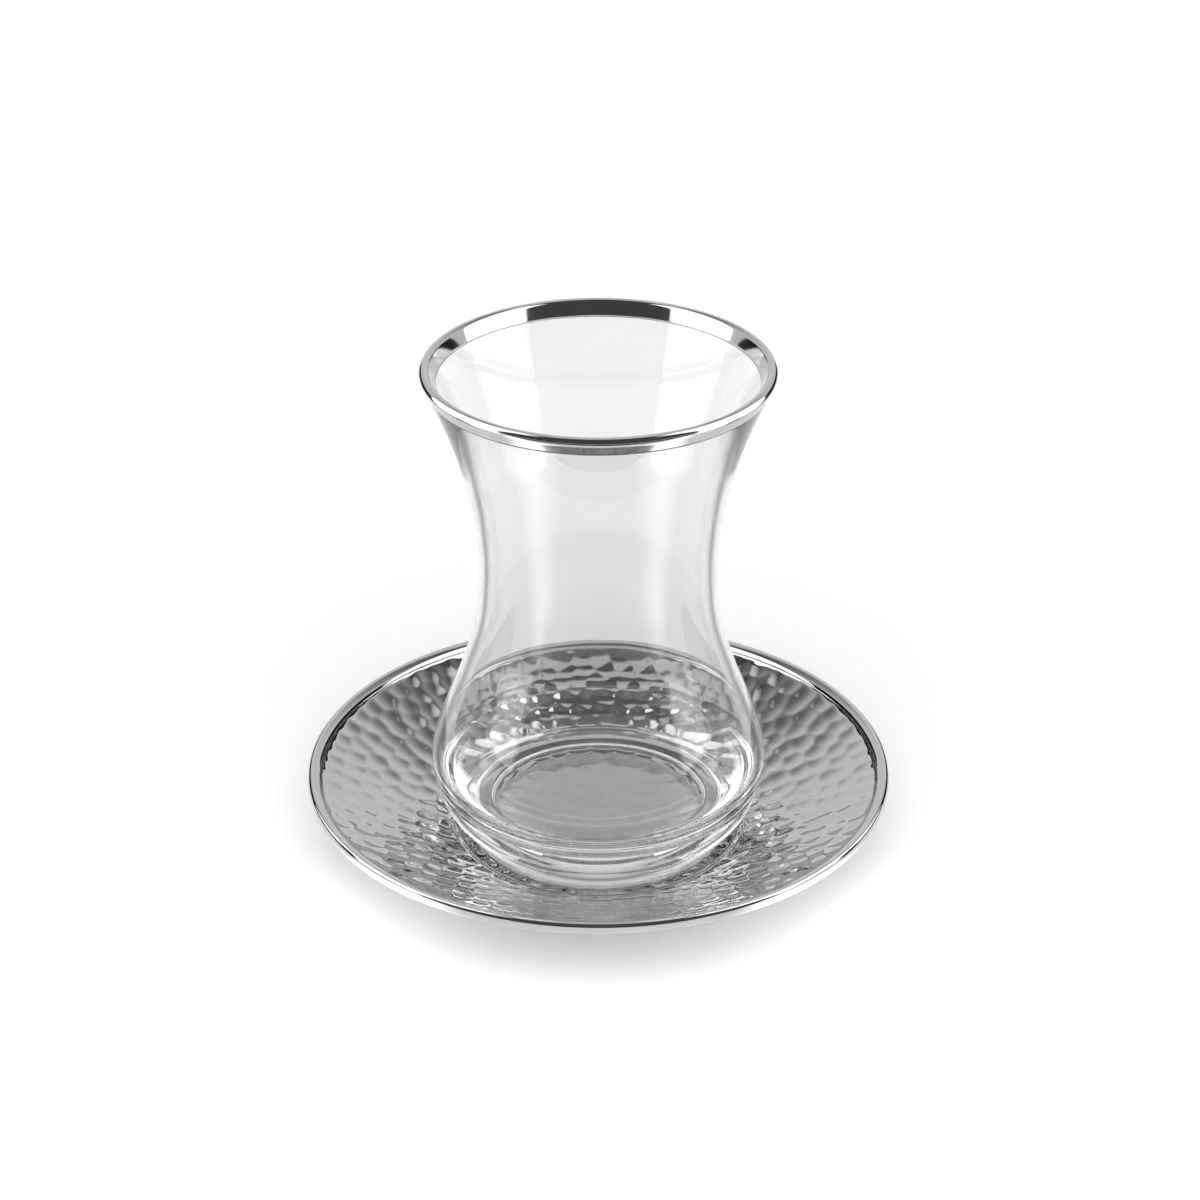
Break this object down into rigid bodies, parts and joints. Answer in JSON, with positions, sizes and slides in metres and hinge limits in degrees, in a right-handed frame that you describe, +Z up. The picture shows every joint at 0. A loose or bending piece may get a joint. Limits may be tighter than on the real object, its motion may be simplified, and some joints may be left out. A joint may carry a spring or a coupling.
{
  "type": "turkish tea glass",
  "caption": "Clear tulip-shaped tea glass with a silver lip band, standing in the well of a silver saucer with a hammered slope and a rolled rim.",
  "frame": {"origin": "on the axis of glass and saucer, at the table, under the saucer's foot ring", "axes": "+Z up along the axis of the glass; +X and +Y are level, and the object is round about Z"},
  "size_m": [0.11, 0.11, 0.0974],
  "materials": {
    "clear_glass": "fire-polished clear soda-lime glass",
    "silver_lustre": "bright metal lustre fired on the lip",
    "silver_plate": "bright silver plate on hammered sheet"
  },
  "bodies": {
    "root": {"glass": "clear_glass", "rim_band": "silver_lustre", "saucer": "silver_plate"}
  },
  "joints": []
}
